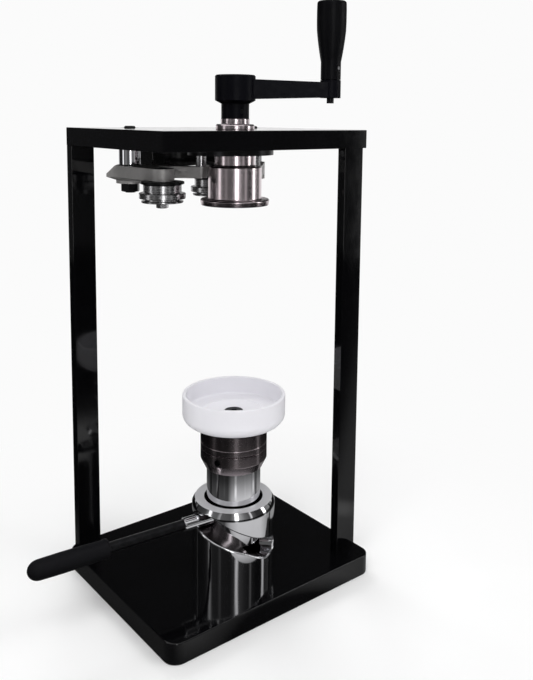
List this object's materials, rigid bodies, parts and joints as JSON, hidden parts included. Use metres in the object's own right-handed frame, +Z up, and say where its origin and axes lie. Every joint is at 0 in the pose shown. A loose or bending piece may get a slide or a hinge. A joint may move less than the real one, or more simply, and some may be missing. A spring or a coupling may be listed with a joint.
{
  "type": "can seamer",
  "caption": "Bench can seamer with hand crank, seaming chuck, two roller arms and a lever-driven lift carrying the can cup, in a black two-plate frame.",
  "frame": {"origin": "where the spindle axis meets the underside of the base plate", "axes": "+Z up along the spindle axis; +X along the base's width, from the front corner towards the right post; +Y along its depth, towards the left post"},
  "size_m": [0.2586, 0.16, 0.4518],
  "materials": {
    "gloss_black_paint": "gloss black powder coat",
    "satin_black_paint": "satin black enamel on a casting",
    "chrome_plate": "polished chrome plate",
    "ground_steel": "ground tool steel",
    "grey_casting": "bead-blasted steel casting",
    "blackened_steel": "black oxide on steel",
    "bearing_bronze": "sintered bronze",
    "white_nylon": "white nylon",
    "black_grip": "moulded black nylon grip",
    "dark_rubber": "dark soft grip sleeve"
  },
  "bodies": {
    "frame": {"base_plate": "gloss_black_paint", "left_post": "gloss_black_paint", "right_post": "gloss_black_paint", "top_plate": "gloss_black_paint", "backing_bar": "gloss_black_paint", "bar_screws": "blackened_steel", "post_screws": "blackened_steel", "sleeve_screws": "blackened_steel", "lift_sleeve": "chrome_plate", "spindle_bearings": "bearing_bronze", "spindle_flange": "chrome_plate", "pivot_bolts": "blackened_steel", "pivot_bushes": "chrome_plate", "pivot_nuts": "blackened_steel"},
    "spindle": {"spindle_shaft": "ground_steel", "spindle_collar": "chrome_plate", "seaming_chuck": "chrome_plate", "chuck_screw": "blackened_steel", "crank_arm": "satin_black_paint", "crank_screw": "blackened_steel", "crank_pin": "blackened_steel", "grip_axle": "blackened_steel"},
    "revolving_grip": {"crank_grip": "black_grip", "grip_pin": "chrome_plate"},
    "cam_body": {"cam": "blackened_steel"},
    "first_arm_body": {"first_arm": "grey_casting", "first_roller_pin": "ground_steel", "first_roller_nut": "ground_steel", "first_cam_stud": "ground_steel"},
    "first_roller_body": {"first_roller": "ground_steel"},
    "first_cam_roller_body": {"first_cam_roller": "ground_steel"},
    "second_arm_body": {"second_arm": "grey_casting", "second_roller_pin": "ground_steel", "second_roller_nut": "ground_steel", "second_cam_stud": "ground_steel"},
    "second_roller_body": {"second_roller": "ground_steel"},
    "second_cam_roller_body": {"second_cam_roller": "ground_steel"},
    "carriage": {"cup_bearing": "ground_steel"},
    "plunger": {"lift_tube": "chrome_plate", "locking_collar": "chrome_plate", "collar_screw": "blackened_steel", "bearing_housing": "chrome_plate", "lever_stub": "chrome_plate", "lever_rod": "blackened_steel", "lever_grip": "dark_rubber"},
    "can_plate": {"can_cup": "white_nylon", "cup_shaft": "ground_steel", "cup_screw": "blackened_steel"}
  },
  "joints": [
    {"name": "crank_turn", "type": "hinge", "parent": "frame", "child": "spindle", "pos_m": [0, 0, 0.35], "axis": [0, 0, 1], "continuous": true},
    {"name": "crank_grip_spin", "type": "hinge", "parent": "spindle", "child": "revolving_grip", "pos_m": [0.05682, -0.04174, 0.42], "axis": [0, 0, 1], "continuous": true},
    {"name": "cam_turn", "type": "hinge", "parent": "frame", "child": "cam_body", "pos_m": [0, 0, 0.3365], "axis": [0, 0, 1], "continuous": true},
    {"name": "first_arm_swing", "type": "hinge", "parent": "frame", "child": "first_arm_body", "pos_m": [-0.04702, 0.07438, 0.321], "axis": [0, 0, 1], "range_deg": [0, 15.2]},
    {"name": "first_roller_spin", "type": "hinge", "parent": "first_arm_body", "child": "first_roller_body", "pos_m": [-0.04766, 0.02539, 0.309], "axis": [0, 0, 1], "continuous": true},
    {"name": "first_cam_roller_spin", "type": "hinge", "parent": "first_arm_body", "child": "first_cam_roller_body", "pos_m": [-0.0084, 0.03295, 0.34], "axis": [0, 0, 1], "continuous": true},
    {"name": "second_arm_swing", "type": "hinge", "parent": "frame", "child": "second_arm_body", "pos_m": [0.0632, 0.06124, 0.321], "axis": [0, 0, 1], "range_deg": [0, 15.2]},
    {"name": "second_roller_spin", "type": "hinge", "parent": "second_arm_body", "child": "second_roller_body", "pos_m": [0.0151, 0.05185, 0.309], "axis": [0, 0, 1], "continuous": true},
    {"name": "second_cam_roller_spin", "type": "hinge", "parent": "second_arm_body", "child": "second_cam_roller_body", "pos_m": [0.03053, 0.01496, 0.34], "axis": [0, 0, 1], "continuous": true},
    {"name": "lift_rise", "type": "slide", "parent": "frame", "child": "carriage", "axis": [0, 0, 1], "range_m": [-0.022, 0]},
    {"name": "lever_turn", "type": "hinge", "parent": "carriage", "child": "plunger", "pos_m": [0, 0, 0.0588], "axis": [0, 0, 1], "range_deg": [0, 125]},
    {"name": "can_plate_spin", "type": "hinge", "parent": "carriage", "child": "can_plate", "pos_m": [0, 0, 0.14], "axis": [0, 0, 1], "continuous": true}
  ],
  "couplings": [
    {"joint": "lift_rise", "follows": "lever_turn", "m_per_rad": -0.010084},
    {"joint": "cam_turn", "follows": "crank_turn", "ratio": 0.041667}
  ]
}
